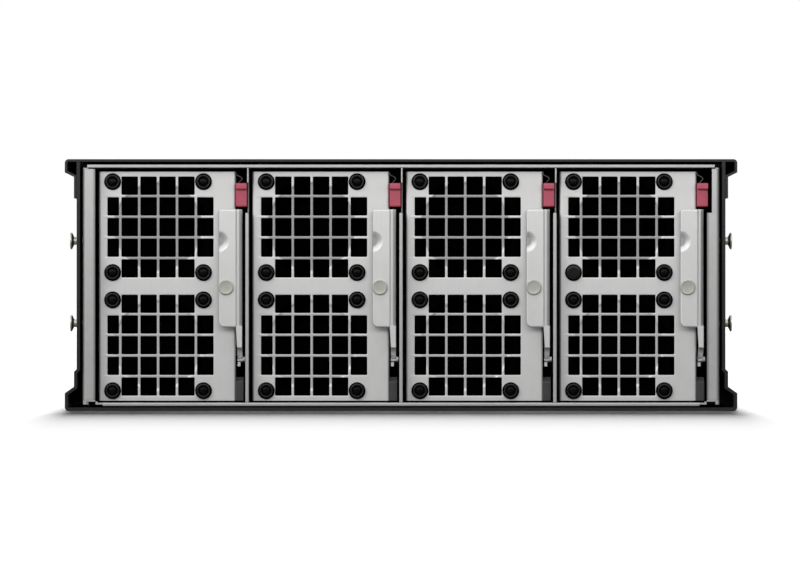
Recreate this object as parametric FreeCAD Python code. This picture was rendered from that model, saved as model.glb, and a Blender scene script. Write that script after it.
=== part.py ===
import FreeCAD, Part
import math
import os

Vector = FreeCAD.Vector

# Edge server chassis: a black case round a silver cage with four fan drawers on the near side (-Y)
# and four blade bays on the far side (+Y), closed by panels. Millimetres, +Z up, origin under the middle.

# Fans: square axial fans, two in each drawer
fan_size = 70.0
fan_depth = 38.0
fan_hole_inset = 4.25       # corner hole centre to the edge of the frame
fan_gap = 10.0              # between the two frames of a drawer
fan_flange = 4.0            # thickness of the two square flanges
fan_corner = 4.0            # rounded corners of the flanges
fan_duct_wall = 1.6
fan_bore_margin = 2.0       # bore wall to the edge of the frame
tip_clearance = 0.8         # blade tips to bore
hub_radius = 16.0
hub_wall = 1.8
hub_boss_radius = 4.6
impeller_near_gap = 4.0     # free depth before the impeller
impeller_far_gap = 7.0      # free depth behind it, for the struts
blade_count = 7
blade_thickness = 1.3
blade_half_width = 7.5      # half the blade's extent round the axis
blade_camber = 2.4
stator_radius = 12.0
stator_length = 16.0
strut_width = 4.0
strut_depth = 4.5
strut_count = 4
shaft_radius = 2.5
shaft_clearance = 0.06      # running fit of the impeller on its shaft
shaft_end_gap = 1.0

# Fan drawer: a bent sheet tray
tray_sheet = 1.2
tray_depth = 64.0
tray_bend = 1.8             # outside bend radius of the side returns
tray_end_margin = 2.5       # fan frame to the top or bottom edge of the face
tray_fan_margin = 5.1       # fan frame to the left edge of the face
tray_lever_margin = 17.5    # fan frame to the right edge of the face
tray_gap = 3.4              # divider centre to the left edge of the face
slot_width = 8.0            # right edge of the face to the next divider's centre
return_relief = 0.4         # slit between the side returns and the top and bottom ones

# Grille: square cells punched through a shallow round dish
grille_pitch_x = 12.7
grille_pitch_z = 13.9
grille_bar = 2.1
grille_corner = 0.7         # rounded corners of the cells
grille_rows = 5
grille_columns = 4          # full columns over the fan; one more stands on each side
grille_edge = 1.0           # outer cells to the edge of the fan frame
dish_radius = 30.5
dish_slope = 1.0
dish_depth = 1.2
dish_rim = 1.0

# Push rivets through the fan corners
rivet_head_radius = 5.8
rivet_head_height = 2.3
rivet_rim = 1.4             # flat ring round the dished middle
rivet_dish = 1.2
rivet_leg = 2.8             # square split legs
rivet_hole_radius = 2.2
rivet_tail = 2.0            # legs past the fan flange

# Release lever: bent sheet that swings on a pin at its foot
lever_sheet = 1.5
lever_width = 16.4
lever_bend = 4.0            # outside bend radius along its right edge
lever_standoff = 4.5        # lever's back to the drawer face
lever_right_gap = 2.9       # lever's right face to the next divider's centre
lever_flange_depth = 9.0
lever_bottom = 49.65        # above the bottom edge of the drawer face
lever_crease = 0.4          # coined line where the bend starts
lever_crease_width = 0.9
lever_top_corner = 2.0
lever_bottom_corner = 4.0
arm_width = 4.3
arm_length = 13.5           # arm below the lever's face, down to its knee
arm_taper = 0.9
eye_radius = 2.1
dimple_radius = 7.0
dimple_depth = 2.0
dimple_drop = 21.7          # lever's top to the middle of the thumb dimple
stud_disc_radius = 5.2
stud_disc_height = 1.2
stud_shank_radius = 2.5
stud_tail_radius = 3.6
stud_tail_height = 1.4
stud_drop = 52.6            # lever's top to the stud
stud_inset = 4.9            # lever's left edge to the stud

# Pivot pin of the lever
pin_radius = 1.2
pin_clearance = 0.05
pin_height = 28.05          # above the bottom edge of the drawer face
pin_depth = 6.0             # behind the drawer face
pin_shoulder_radius = 2.6
pin_shoulder = 1.4
pin_clip_radius = 1.9
pin_clip = 0.8
pin_end_gap = 1.8           # pin's end to the next divider's centre

# Red latch above the lever, its spring, and the block at the slot's foot
latch_drop = 7.75           # top edge of the drawer face to the latch
latch_gap = 1.7             # lever's top to the latch
latch_height = 16.1
latch_clearance = 0.3
latch_travel = 4.0
latch_front = 2.8           # latch's face in front of the drawer face
latch_back = 6.5            # latch's back behind the drawer face
latch_ridge = 2.4           # thumb ridge in front of the latch's face
latch_ridge_height = 4.5
latch_ridge_round = 1.2
latch_toe = 0.7
latch_tab_depth = 3.0
latch_tab_height = 6.0
latch_keeper = 1.2
latch_keeper_lip = 1.0
spring_sheet = 0.4
spring_width = 4.0
spring_tab = 2.2
spring_reach = 5.2
spring_bend = 1.0
foot_height = 15.8
foot_width = 5.6
foot_depth = 16.0
foot_corner = 1.5

# Fan connector: a plug on the drawer's back and a socket on the midplane
plug_width = 12.0
plug_height = 30.0
plug_flange = 3.0
plug_tongue_width = 8.0
plug_tongue_height = 26.0
plug_tongue = 9.0
plug_clearance = 0.3
plug_end_gap = 0.5
plug_tab_margin = 2.0       # tray tab round the plug's flange
plug_inset = 8.0            # plug's centre to the right return
socket_depth = 10.0
socket_gap = 1.0

# Cage: hemmed sheet, floor and sides in one piece, with a separate top
bay_count = 4
cage_sheet = 1.15
cage_margin = 7.0           # outer bays to the cage's outer face
cage_flange = 8.4           # near and far flanges of the side walls
cage_bend = 1.5
cage_inset = 1.5            # case rim to cage edge
hem_depth = 8.0
hem_round = 0.6             # rounded fold of the hems
floor_hem_end = 13.5        # cage's outer face to the end of the floor hem
floor_lip_height = 2.0      # upturned end of the floor sheet beside the hem
floor_lip_gap = 0.3         # that lip to the side flange's end
top_hem_end = 3.0
flange_relief = 0.8         # side flange to floor and roof
latch_notch = 3.4           # cut in the last side flange, beside the latch
latch_notch_drop = 30.4     # its depth below the cage's top
plate_inset = 7.5           # cage edge to drawer face
floor_gap = 1.25            # cage floor to drawer face
roof_gap = 2.45
bead_width = 5.0
bead_top = 3.0
bead_clearance = 0.3        # drawer to the floor beads that carry it
bead_inset = 7.5            # cage edge to the beads' near ends
bead_margin = 10.0          # beads to the edges of the drawer
top_flange = 10.0           # down-turned sides of the cage top

# Case: tray and lid with corner lobes
case_depth = 430.0
base_wall = 2.2
lid_sheet = 1.7
lid_fit = 0.1
lid_gap = 1.8               # cage top to lid
cage_gap = 1.8              # cage side to case wall
cage_lift = 2.15            # spacers under the cage
lobe_reach = 6.2
lobe_corner = 2.6
base_lobe_height = 12.0
base_lobe_slope = 4.4
base_jog_height = 26.5      # where the base wall steps in under the lid's skirt
lid_lobe_height = 9.0
lid_lobe_slope = 3.0
skirt_drop = 26.4
spacer_radius = 8.0
spacer_columns = 4
spacer_rows = 2
spacer_inset = 40.0

# Side studs, and the countersunk holes of the lid screws
side_stud_low = 59.1
side_stud_high = 115.1
side_stud_span = 380.0
side_stud_head_radius = 5.75
side_stud_rim = 1.0
side_stud_cone = 1.5
side_stud_shank_radius = 2.7
side_stud_shank = 3.4
side_stud_thread_radius = 2.4
side_stud_tail = 1.6        # thread past the cage wall
thread_clearance = 0.05
hole_clearance = 0.2
screw_radius = 1.45
screw_head_radius = 2.9
screw_head_height = 1.45
screw_sink = 0.1
screw_drop = 20.0
screw_span = 280.0
screws_per_side = 3

# Midplane board and the blade bays behind it
board_sheet = 2.4
board_margin = 3.0
window_width = 66.0
window_height = 62.0
window_corner = 3.0
card_socket_width = 9.0
card_socket_height = 90.0
card_socket_depth = 12.0
card_slot = 2.0
card_slot_depth = 8.0
card_slot_end = 3.0
guide_width = 6.0
guide_height = 5.0
guide_groove = 2.4
guide_groove_depth = 3.5
guide_inset = 12.0          # bay edge to the guides
guide_near_gap = 12.0       # card sockets to the guides
guide_far_gap = 2.0         # guides to the blanking panels

# Blanking panels in the empty blade bays, pans with a raised face and a knob
blank_gap = 1.0             # panel to the partitions
blank_top_gap = 0.3
blank_depth = 30.0
blank_bend = 1.8
blank_margin = 14.0         # edge of the panel to its raised face
blank_corner = 8.0
blank_rise = 1.2
knob_radius = 7.0
knob_neck_radius = 4.5
knob_neck = 2.0
knob_cone = 1.5
knob_head = 2.5

# Sizes that follow from the ones above
plate_width = tray_fan_margin + fan_size + tray_lever_margin
plate_height = 2 * fan_size + fan_gap + 2 * tray_end_margin
bay_pitch = tray_gap + plate_width + slot_width
fan_x = tray_fan_margin + fan_size / 2
fan_bore = fan_size / 2 - fan_bore_margin
rivet_offset = fan_size / 2 - fan_hole_inset

cage_half = bay_count * bay_pitch / 2 + cage_margin
base_half = cage_half + cage_gap + base_wall
flush_half = base_half + lid_fit + lid_sheet
lobe_half = flush_half + lobe_reach

cage_under = base_wall + cage_lift
cage_floor = cage_under + cage_sheet
plate_bottom = cage_floor + floor_gap
plate_top = plate_bottom + plate_height
plate_middle = (plate_bottom + plate_top) / 2
fan_levels = [plate_middle + side * (fan_size + fan_gap) / 2 for side in (1, -1)]
cage_roof = plate_top + roof_gap
cage_crown = cage_roof + 2 * cage_sheet
lid_under = cage_crown + lid_gap
case_height = lid_under + lid_sheet

case_near = -case_depth / 2
case_far = case_depth / 2
cage_near = case_near + cage_inset
cage_far = case_far - cage_inset
plate_face = cage_near + plate_inset
plate_back = plate_face + tray_sheet
fan_far = plate_back + fan_depth
tray_far = plate_face + tray_depth
board_near = tray_far + plug_flange + socket_gap + socket_depth
board_far = board_near + board_sheet
blank_face = cage_far - plate_inset
blank_near = blank_face - blank_depth
slot_end = plate_width + slot_width

lever_right = slot_end - lever_right_gap
lever_left = lever_right - lever_width
lever_foot = plate_bottom + lever_bottom
latch_top = plate_top - latch_drop
latch_bottom = latch_top - latch_height
lever_top = latch_bottom - latch_gap
lever_back = plate_face - lever_standoff
lever_face = lever_back - lever_sheet
pin_y = plate_face + pin_depth
pin_z = plate_bottom + pin_height
plug_x = plate_width - tray_sheet - plug_inset

AXIS = {"xz": Vector(0, 1, 0), "yz": Vector(1, 0, 0), "xy": Vector(0, 0, 1)}


def on_plane(plane, point):
    """Point of a drawing plane, named by its two axes, as a point in space."""
    if plane == "xz":
        return Vector(point.x, 0, point.y)
    if plane == "yz":
        return Vector(0, point.x, point.y)
    return Vector(point.x, point.y, 0)


def outline(corners, plane):
    """Closed outline of straight sides; a corner's third number is the radius that rounds it."""
    spots = [Vector(corner[0], corner[1], 0) for corner in corners]
    turns = []
    for i, here in enumerate(spots):
        radius = corners[i][2] if len(corners[i]) > 2 else 0
        if radius <= 0:
            turns.append((here, None, here))
            continue
        before = (spots[i - 1] - here).normalize()
        after = (spots[(i + 1) % len(spots)] - here).normalize()
        half = before.getAngle(after) / 2
        inward = (before + after).normalize()
        middle = here + inward * (radius / math.sin(half) - radius)
        reach = radius / math.tan(half)
        turns.append((here + before * reach, middle, here + after * reach))
    edges = []
    for i, (start, middle, end) in enumerate(turns):
        if middle is not None:
            arc = [on_plane(plane, point) for point in (start, middle, end)]
            edges.append(Part.Arc(*arc).toShape())
        following = turns[(i + 1) % len(turns)][0]
        if (following - end).Length > 1e-6:
            edges.append(Part.makeLine(on_plane(plane, end), on_plane(plane, following)))
    return Part.Wire(edges)


def prism(corners, plane, start, end):
    """Outline drawn on a plane and carried along that plane's normal from start to end."""
    face = Part.Face(outline(corners, plane))
    face.translate(AXIS[plane] * start)
    return face.extrude(AXIS[plane] * (end - start))


def block(x, y, z):
    """Box between the low and high values of each axis."""
    low = Vector(x[0], y[0], z[0])
    return Part.makeBox(x[1] - x[0], y[1] - y[0], z[1] - z[0], low)


def rod(radius, start, end, centre, axis):
    """Cylinder along X or Y from start to end; centre gives the other two coordinates."""
    if axis == "x":
        return Part.makeCylinder(radius, end - start, Vector(start, *centre), Vector(1, 0, 0))
    return Part.makeCylinder(radius, end - start, Vector(centre[0], start, centre[1]), Vector(0, 1, 0))


def turned(profile, axis):
    """Solid of revolution about X or Y from corners given as (radius, place along the axis)."""
    if axis == "x":
        points = [Vector(along, radius, 0) for radius, along in profile]
        direction = Vector(1, 0, 0)
    else:
        points = [Vector(radius, along, 0) for radius, along in profile]
        direction = Vector(0, 1, 0)
    face = Part.Face(Part.makePolygon(points + points[:1]))
    return face.revolve(Vector(0, 0, 0), direction, 360)


def bent_sheet(path, sheet):
    """Outline of a sheet of even thickness, laid to the left of a path with bend radii."""
    inner = []
    for i, corner in enumerate(path):
        here = Vector(corner[0], corner[1], 0)
        radius = corner[2] if len(corner) > 2 else 0
        sides = []
        if i > 0:
            sides.append((here - Vector(path[i - 1][0], path[i - 1][1], 0)).normalize())
        if i < len(path) - 1:
            sides.append((Vector(path[i + 1][0], path[i + 1][1], 0) - here).normalize())
        normals = [Vector(-side.y, side.x, 0) for side in sides]
        across = normals[0] + normals[-1]
        moved = here + across * (2 * sheet / across.dot(across))
        turn = sides[0].cross(sides[-1]).z
        bend = max(radius - math.copysign(sheet, turn), 0) if radius > 0 else 0
        inner.append((moved.x, moved.y, bend))
    return list(path) + inner[::-1]


def both_sides(path):
    """Path on the right half, continued by its mirror image on the left half."""
    return list(path) + [(-corner[0],) + tuple(corner[1:]) for corner in path[::-1]]


def solid(shape):
    """The one solid of a boolean's result, with split faces joined again."""
    result = shape.removeSplitter().Solids[0]
    if result.Volume < 0:
        result.reverse()
    return result


def save(name, pieces):
    """Write one piece, or a group of like pieces, under the node's name."""
    Part.makeCompound(pieces).exportStep("parts/" + name + ".step")


def spread(count, span):
    """Places of a row centred on zero."""
    if count == 1:
        return [0.0]
    return [span * (i / (count - 1) - 0.5) for i in range(count)]


def bay_left(bay):
    """X of the left edge of a bay, which is the middle of a partition."""
    return (bay - bay_count / 2) * bay_pitch


def drawer_left(bay):
    """X of the left edge of a drawer's face."""
    return bay_left(bay) + tray_gap


def divider_centres():
    """X of the partitions between the bays."""
    return [bay_left(bay) for bay in range(1, bay_count)]


def side_stud_places():
    """Y and Z of the studs on one side."""
    return [(y, z) for y in spread(2, side_stud_span) for z in (side_stud_low, side_stud_high)]


def screw_places():
    """Y and Z of the lid screws on one side."""
    return [(y, case_height - screw_drop) for y in spread(screws_per_side, screw_span)]


def cross_holes(radius, places, half):
    """Rods through both side walls at the given places."""
    return [rod(radius, -half, half, place, "x") for place in places]


def case_base():
    """Tray bent from one sheet: floor, lobed corners, and walls that step in under the lid."""
    jog = flush_half - base_half
    right = [
        (base_half, lid_under),
        (base_half, base_jog_height + jog),
        (flush_half, base_jog_height),
        (flush_half, base_lobe_height + base_lobe_slope),
        (lobe_half, base_lobe_height),
        (lobe_half, 0, lobe_corner),
    ]
    path = both_sides(right)[::-1]
    tray = prism(bent_sheet(path, base_wall), "xz", case_near, case_far)
    holes = cross_holes(side_stud_thread_radius + hole_clearance, side_stud_places(), lobe_half)
    holes += cross_holes(screw_radius + hole_clearance, screw_places(), lobe_half)
    return solid(tray.cut(holes))


def case_lid():
    """Lid bent from one sheet, with lobed edges and skirts outside the base walls."""
    lobe_foot = case_height - lid_lobe_height
    right = [
        (flush_half, case_height - skirt_drop),
        (flush_half, lobe_foot - lid_lobe_slope),
        (lobe_half, lobe_foot),
        (lobe_half, case_height, lobe_corner),
    ]
    lid = prism(bent_sheet(both_sides(right), lid_sheet), "xz", case_near, case_far)
    holes = cross_holes(screw_radius + hole_clearance, screw_places(), lobe_half)
    sink = screw_head_radius + hole_clearance
    bore = screw_radius + hole_clearance
    depth = flush_half - screw_sink - screw_head_height
    for side in (1, -1):
        for y, z in screw_places():
            cone = turned([(0, flush_half), (sink, flush_half), (bore, depth), (0, depth)], "x")
            if side < 0:
                cone = cone.rotate(Vector(0, 0, 0), Vector(0, 0, 1), 180)
            holes.append(cone.translate(Vector(0, y, z)))
    return solid(lid.cut(holes))


def on_both_walls(piece, places):
    """Copies of a piece that points along +X, on the right wall and turned round on the left one."""
    copies = []
    for turn in (0, 180):
        for y, z in places:
            copy = piece.copy()
            copy.rotate(Vector(0, 0, 0), Vector(0, 0, 1), turn)
            copy.translate(Vector(0, y, z))
            copies.append(copy)
    return copies


def side_studs():
    """Mushroom-head studs, screwed through the base wall into the cage wall."""
    end = cage_half - cage_sheet - side_stud_tail
    neck = base_half + side_stud_shank
    rim = neck + side_stud_cone
    face = rim + side_stud_rim
    profile = [
        (0, end),
        (side_stud_thread_radius, end),
        (side_stud_thread_radius, base_half),
        (side_stud_shank_radius, base_half),
        (side_stud_shank_radius, neck),
        (side_stud_head_radius, rim),
        (side_stud_head_radius, face),
        (0, face),
    ]
    return on_both_walls(solid(turned(profile, "x")), side_stud_places())


def floor_beads():
    """Raised beads along the cage floor, two under each drawer."""
    top = plate_bottom - bead_clearance
    beads = []
    for bay in range(bay_count):
        left = drawer_left(bay)
        for x in (left + bead_margin, left + plate_width - bead_margin):
            section = [
                (x - bead_width / 2, cage_floor),
                (x + bead_width / 2, cage_floor),
                (x + bead_top / 2, top),
                (x - bead_top / 2, top),
            ]
            beads.append(prism(section, "xz", cage_near + bead_inset, tray_far))
    return beads


def hem_profile(level, fold):
    """Side view of a flat sheet whose near edge is folded back on itself, up or down."""
    skin = level - math.copysign(cage_sheet, fold)
    corners = [(cage_far, level), (cage_near + hem_depth, level), (cage_near + hem_depth, level + fold)]
    corners += [(cage_near, level + fold, hem_round), (cage_near, skin, hem_round), (cage_far, skin)]
    return corners


def cage_base():
    """Cage floor with its hem and beads, and the side walls with their near and far flanges."""
    floor = prism(hem_profile(cage_under, -cage_sheet), "yz", -cage_half, cage_half)
    parts = floor_beads()
    hem_y = (cage_near, cage_near + hem_depth)
    for side in (1, -1):
        x = sorted((side * cage_half, side * (cage_half - floor_hem_end)))
        floor = floor.cut(block(x, hem_y, (0, cage_floor)))
        lip = cage_half - cage_flange - floor_lip_gap
        x = sorted((side * lip, side * (cage_half - floor_hem_end)))
        parts.append(block(x, hem_y, (cage_under, cage_floor)))
        x = sorted((side * lip, side * (lip - cage_sheet)))
        parts.append(block(x, hem_y, (cage_under, cage_under + floor_lip_height)))
    for side in (1, -1):
        path = [
            (side * (cage_half - cage_flange), cage_near),
            (side * cage_half, cage_near, cage_bend),
            (side * cage_half, cage_far, cage_bend),
            (side * (cage_half - cage_flange), cage_far),
        ]
        wall = prism(bent_sheet(path, side * cage_sheet), "xy", cage_under, cage_roof)
        inner = side * (cage_half - cage_sheet - cage_bend)
        outer = side * (cage_half - cage_flange)
        x = sorted((inner, outer))
        for depth in ((cage_near, cage_near + cage_sheet), (cage_far - cage_sheet, cage_far)):
            wall = wall.cut(block(x, depth, (cage_under, cage_floor + flange_relief)))
            wall = wall.cut(block(x, depth, (cage_roof - flange_relief, cage_roof)))
        parts.append(wall)
    cage = floor.fuse(parts)
    notch_x = (cage_half - cage_flange, cage_half - cage_flange + latch_notch)
    notch_z = (cage_roof - latch_notch_drop, cage_roof)
    cuts = [block(notch_x, (cage_near, cage_near + cage_sheet), notch_z)]
    cuts += cross_holes(side_stud_thread_radius + thread_clearance, side_stud_places(), lobe_half)
    cuts += cross_holes(screw_radius + thread_clearance, screw_places(), lobe_half)
    return solid(cage.cut(cuts))


def cage_top():
    """Cage roof with its hem, and sides turned down inside the cage walls."""
    roof = prism(hem_profile(cage_roof + cage_sheet, cage_sheet), "yz", -cage_half, cage_half)
    flanges = []
    for side in (1, -1):
        x = sorted((side * cage_half, side * (cage_half - top_hem_end)))
        roof = roof.cut(block(x, (cage_near, cage_near + hem_depth), (cage_roof, cage_crown)))
        x = sorted((side * (cage_half - cage_sheet), side * (cage_half - 2 * cage_sheet)))
        y = (cage_near + hem_depth, cage_far - hem_depth)
        flanges.append(block(x, y, (cage_roof - top_flange, cage_roof)))
    return solid(roof.fuse(flanges))


def divider(x, edge, back):
    """Partition from its folded edge back to the midplane board."""
    fold = edge + math.copysign(hem_depth, back - edge)
    section = [
        (x + cage_sheet, back),
        (x, back),
        (x, fold),
        (x - cage_sheet, fold),
        (x - cage_sheet, edge, hem_round),
        (x + cage_sheet, edge, hem_round),
    ]
    return prism(section, "xy", cage_floor, cage_roof)


def bay_dividers():
    """Partitions between the fan drawers, cut away at each latch, and between the blade bays."""
    dividers = []
    hem_y = (cage_near, cage_near + hem_depth)
    notch_foot = cage_roof - latch_notch_drop
    for x in divider_centres():
        room = block((x - cage_sheet, x), hem_y, (notch_foot, cage_roof))
        window = block((x, x + cage_sheet), hem_y, (notch_foot, latch_top))
        dividers.append(solid(divider(x, cage_near, board_near).cut([room, window])))
        dividers.append(solid(divider(x, cage_far, board_far)))
    return dividers


def cage_spacers():
    """Round pads between the case floor and the cage floor."""
    pads = []
    for x in spread(spacer_columns, 2 * (cage_half - spacer_inset)):
        for y in spread(spacer_rows, cage_far - cage_near - 2 * spacer_inset):
            pads.append(Part.makeCylinder(spacer_radius, cage_lift, Vector(x, y, base_wall)))
    return pads


def midplane_board():
    """Board across the cage behind the drawers, with a window behind every fan."""
    half = cage_half - 2 * cage_sheet - board_margin
    low = cage_floor + board_margin
    high = cage_roof - board_margin
    board = prism([(-half, low), (half, low), (half, high), (-half, high)], "xz", board_near, board_far)
    windows = []
    for bay in range(bay_count):
        x = drawer_left(bay) + fan_x
        for z in fan_levels:
            corners = [
                (x + i * window_width / 2, z + j * window_height / 2, window_corner)
                for i, j in ((-1, -1), (1, -1), (1, 1), (-1, 1))
            ]
            windows.append(prism(corners, "xz", board_near, board_far))
    return solid(board.cut(windows))


def centred(middle, size):
    """Low and high end of a stretch about its middle."""
    return (middle - size / 2, middle + size / 2)


def fan_sockets():
    """Shrouded sockets on the near face of the board, one for each drawer's plug."""
    sockets = []
    for bay in range(bay_count):
        x = drawer_left(bay) + plug_x
        near = board_near - socket_depth
        shroud = block(centred(x, plug_width), (near, board_near), centred(plate_middle, plug_height))
        well = tray_far + plug_flange + plug_tongue + plug_end_gap
        width = plug_tongue_width + 2 * plug_clearance
        height = plug_tongue_height + 2 * plug_clearance
        cavity = block(centred(x, width), (near, well), centred(plate_middle, height))
        sockets.append(solid(shroud.cut(cavity)))
    return sockets


def blade_sockets():
    """Card-edge sockets on the far face of the board, one for each blade bay."""
    sockets = []
    for bay in range(bay_count):
        x = drawer_left(bay) + plug_x
        far = board_far + card_socket_depth
        height = centred(plate_middle, card_socket_height)
        body = block(centred(x, card_socket_width), (board_far, far), height)
        length = card_socket_height - 2 * card_slot_end
        slot = block(centred(x, card_slot), (far - card_slot_depth, far), centred(plate_middle, length))
        sockets.append(solid(body.cut(slot)))
    return sockets


def blade_guides():
    """Grooved rails on the cage floor and roof that carry the blades' edges."""
    guides = []
    near = board_far + card_socket_depth + guide_near_gap
    far = blank_near - guide_far_gap
    for bay in range(bay_count):
        x = bay_left(bay) + guide_inset
        for seat, up in ((cage_floor, 1), (cage_roof, -1)):
            top = seat + up * guide_height
            root = top - up * guide_groove_depth
            section = [
                (x - guide_width / 2, seat),
                (x + guide_width / 2, seat),
                (x + guide_width / 2, top),
                (x + guide_groove / 2, top),
                (x + guide_groove / 2, root),
                (x - guide_groove / 2, root),
                (x - guide_groove / 2, top),
                (x - guide_width / 2, top),
            ]
            guides.append(prism(section, "xz", near, far))
    return guides


def bay_blank():
    """Panel of an empty blade bay: a pan open to the inside, with a raised face and a knob."""
    left = cage_sheet + blank_gap
    right = bay_pitch - left
    low = cage_floor
    high = cage_roof - blank_top_gap
    path = [
        (right, blank_near),
        (right, blank_face, blank_bend),
        (left, blank_face, blank_bend),
        (left, blank_near),
    ]
    pan = prism(bent_sheet(path, cage_sheet), "xy", low, high)
    back = blank_face - cage_sheet
    shelf_x = (left + cage_sheet + return_relief, right - cage_sheet - return_relief)
    shelves = [block(shelf_x, (blank_near, back), (low, low + cage_sheet)),
               block(shelf_x, (blank_near, back), (high - cage_sheet, high))]

    def raised(inset):
        """Outline of the raised face, drawn in by the inset."""
        margin = blank_margin + inset
        corner = blank_corner - inset
        x = (left + margin, right - margin)
        z = (low + margin, high - margin)
        return [(x[0], z[0], corner), (x[1], z[0], corner), (x[1], z[1], corner), (x[0], z[1], corner)]

    crown = blank_face + blank_rise
    neck = crown + knob_neck
    rim = neck + knob_cone
    knob = turned([
        (0, crown),
        (knob_neck_radius, crown),
        (knob_neck_radius, neck),
        (knob_radius, rim),
        (knob_radius, rim + knob_head),
        (0, rim + knob_head),
    ], "y").translate(Vector(bay_pitch / 2, 0, (low + high) / 2))
    panel = pan.fuse(shelves + [prism(raised(0), "xz", back, crown)])
    hollow = prism(raised(cage_sheet), "xz", back, crown - cage_sheet)
    return solid(panel.cut(hollow).fuse(knob))


def grille_cells(z):
    """Cells over one fan: full columns, plus one column on each side of the middle rows."""
    cells = []
    depth = (plate_face - dish_depth, plate_back + 2 * dish_depth)
    width = grille_pitch_x - grille_bar
    left_limit = fan_x - fan_size / 2 + grille_edge
    for column in range(-1, grille_columns + 1):
        middle = fan_x + (column - (grille_columns - 1) / 2) * grille_pitch_x
        low, high = centred(middle, width)
        side_column = column in (-1, grille_columns)
        for row in range(grille_rows):
            if side_column and row in (0, grille_rows - 1):
                continue
            level = z + (row - (grille_rows - 1) / 2) * grille_pitch_z
            foot, head = centred(level, grille_pitch_z - grille_bar)
            left = max(low, left_limit)
            square = [(left, foot), (high, foot), (high, head), (left, head)]
            cells.append(prism([corner + (grille_corner,) for corner in square], "xz", *depth))
    return cells


def rivet_places():
    """X and Z of the fan corner holes in a drawer."""
    return [
        (fan_x + i * rivet_offset, z + j * rivet_offset)
        for z in fan_levels
        for i, j in ((-1, 1), (1, 1), (-1, -1), (1, -1))
    ]


def dish(z):
    """Shallow round dish pressed into the face, as a turned sheet."""
    floor = plate_face + dish_depth
    inner = dish_radius - dish_slope
    rim = dish_radius + dish_rim
    profile = [
        (0, floor),
        (inner, floor),
        (dish_radius, plate_face),
        (rim, plate_face),
        (rim, plate_back),
        (dish_radius, plate_back),
        (inner, floor + tray_sheet),
        (0, floor + tray_sheet),
    ]
    return turned(profile, "y").translate(Vector(fan_x, 0, z))


def latch_slot_z():
    """Low and high end of the slot that the latch's tab runs in."""
    middle = (latch_bottom + latch_top) / 2
    low = middle - latch_tab_height / 2 - latch_clearance
    return (low, middle + latch_tab_height / 2 + latch_clearance + latch_travel)


def fan_tray():
    """Drawer sheet: face with two dished grilles, four returns and a tab for the plug."""
    path = [
        (0, tray_far),
        (0, plate_face, tray_bend),
        (plate_width, plate_face, tray_bend),
        (plate_width, tray_far),
    ]
    tray = prism(bent_sheet(path, tray_sheet), "xy", plate_bottom, plate_top)
    shelf_x = (tray_sheet + return_relief, plate_width - tray_sheet - return_relief)
    shelves = [
        block(shelf_x, (plate_back, tray_far), (plate_bottom, plate_bottom + tray_sheet)),
        block(shelf_x, (plate_back, tray_far), (plate_top - tray_sheet, plate_top)),
    ]
    tab_half = plug_width / 2 + plug_tab_margin
    tab_height = plug_height + 2 * plug_tab_margin
    shelves.append(block((plug_x - tab_half, plate_width - tray_sheet), (tray_far - tray_sheet, tray_far),
                         centred(plate_middle, tab_height)))
    openings = []
    for z in fan_levels:
        openings.append(rod(dish_radius + dish_rim, plate_face, plate_back, (fan_x, z), "y"))
    tray = tray.fuse(shelves).cut(openings).fuse([dish(z) for z in fan_levels])
    cuts = [cell for z in fan_levels for cell in grille_cells(z)]
    cuts += [rod(rivet_hole_radius, plate_face, plate_back, place, "y") for place in rivet_places()]
    wall = (plate_width - tray_sheet, plate_width)
    cuts.append(rod(pin_radius + pin_clearance, wall[0], wall[1], (pin_y, pin_z), "x"))
    tab = centred(plate_face + latch_back - latch_tab_depth, latch_tab_depth + 2 * latch_clearance)
    cuts.append(block(wall, tab, latch_slot_z()))
    return solid(tray.cut(cuts))


def fan_housing():
    """Fan frame: two square flanges on a duct, rear struts, stator and shaft, about the Y axis."""
    half = fan_size / 2
    square = [(i * half, j * half, fan_corner) for i, j in ((-1, -1), (1, -1), (1, 1), (-1, 1))]
    near_flange = prism(square, "xz", plate_back, plate_back + fan_flange)
    far_flange = prism(square, "xz", fan_far - fan_flange, fan_far)
    duct = rod(fan_bore + fan_duct_wall, plate_back, fan_far, (0, 0), "y")
    shell = near_flange.fuse([far_flange, duct]).cut(rod(fan_bore, plate_back, fan_far, (0, 0), "y"))
    seat = fan_far - strut_depth
    stator_near = seat - stator_length
    shaft_near = plate_back + impeller_near_gap + hub_wall + shaft_end_gap
    core = turned([
        (0, fan_far),
        (hub_radius, fan_far),
        (hub_radius, seat),
        (stator_radius, seat),
        (stator_radius, stator_near),
        (shaft_radius, stator_near),
        (shaft_radius, shaft_near),
        (0, shaft_near),
    ], "y")
    struts = []
    for i in range(strut_count):
        reach = (stator_radius, fan_bore + fan_duct_wall / 2)
        strut = block(reach, (seat, fan_far), centred(0, strut_width))
        strut.rotate(Vector(0, 0, 0), Vector(0, 1, 0), 45 + 360 * i / strut_count)
        struts.append(strut)
    frame = shell.fuse([core] + struts)
    holes = []
    for i, j in ((-1, 1), (1, 1), (-1, -1), (1, -1)):
        holes.append(rod(rivet_hole_radius, plate_back, fan_far, (i * rivet_offset, j * rivet_offset), "y"))
    return solid(frame.cut(holes))


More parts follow.
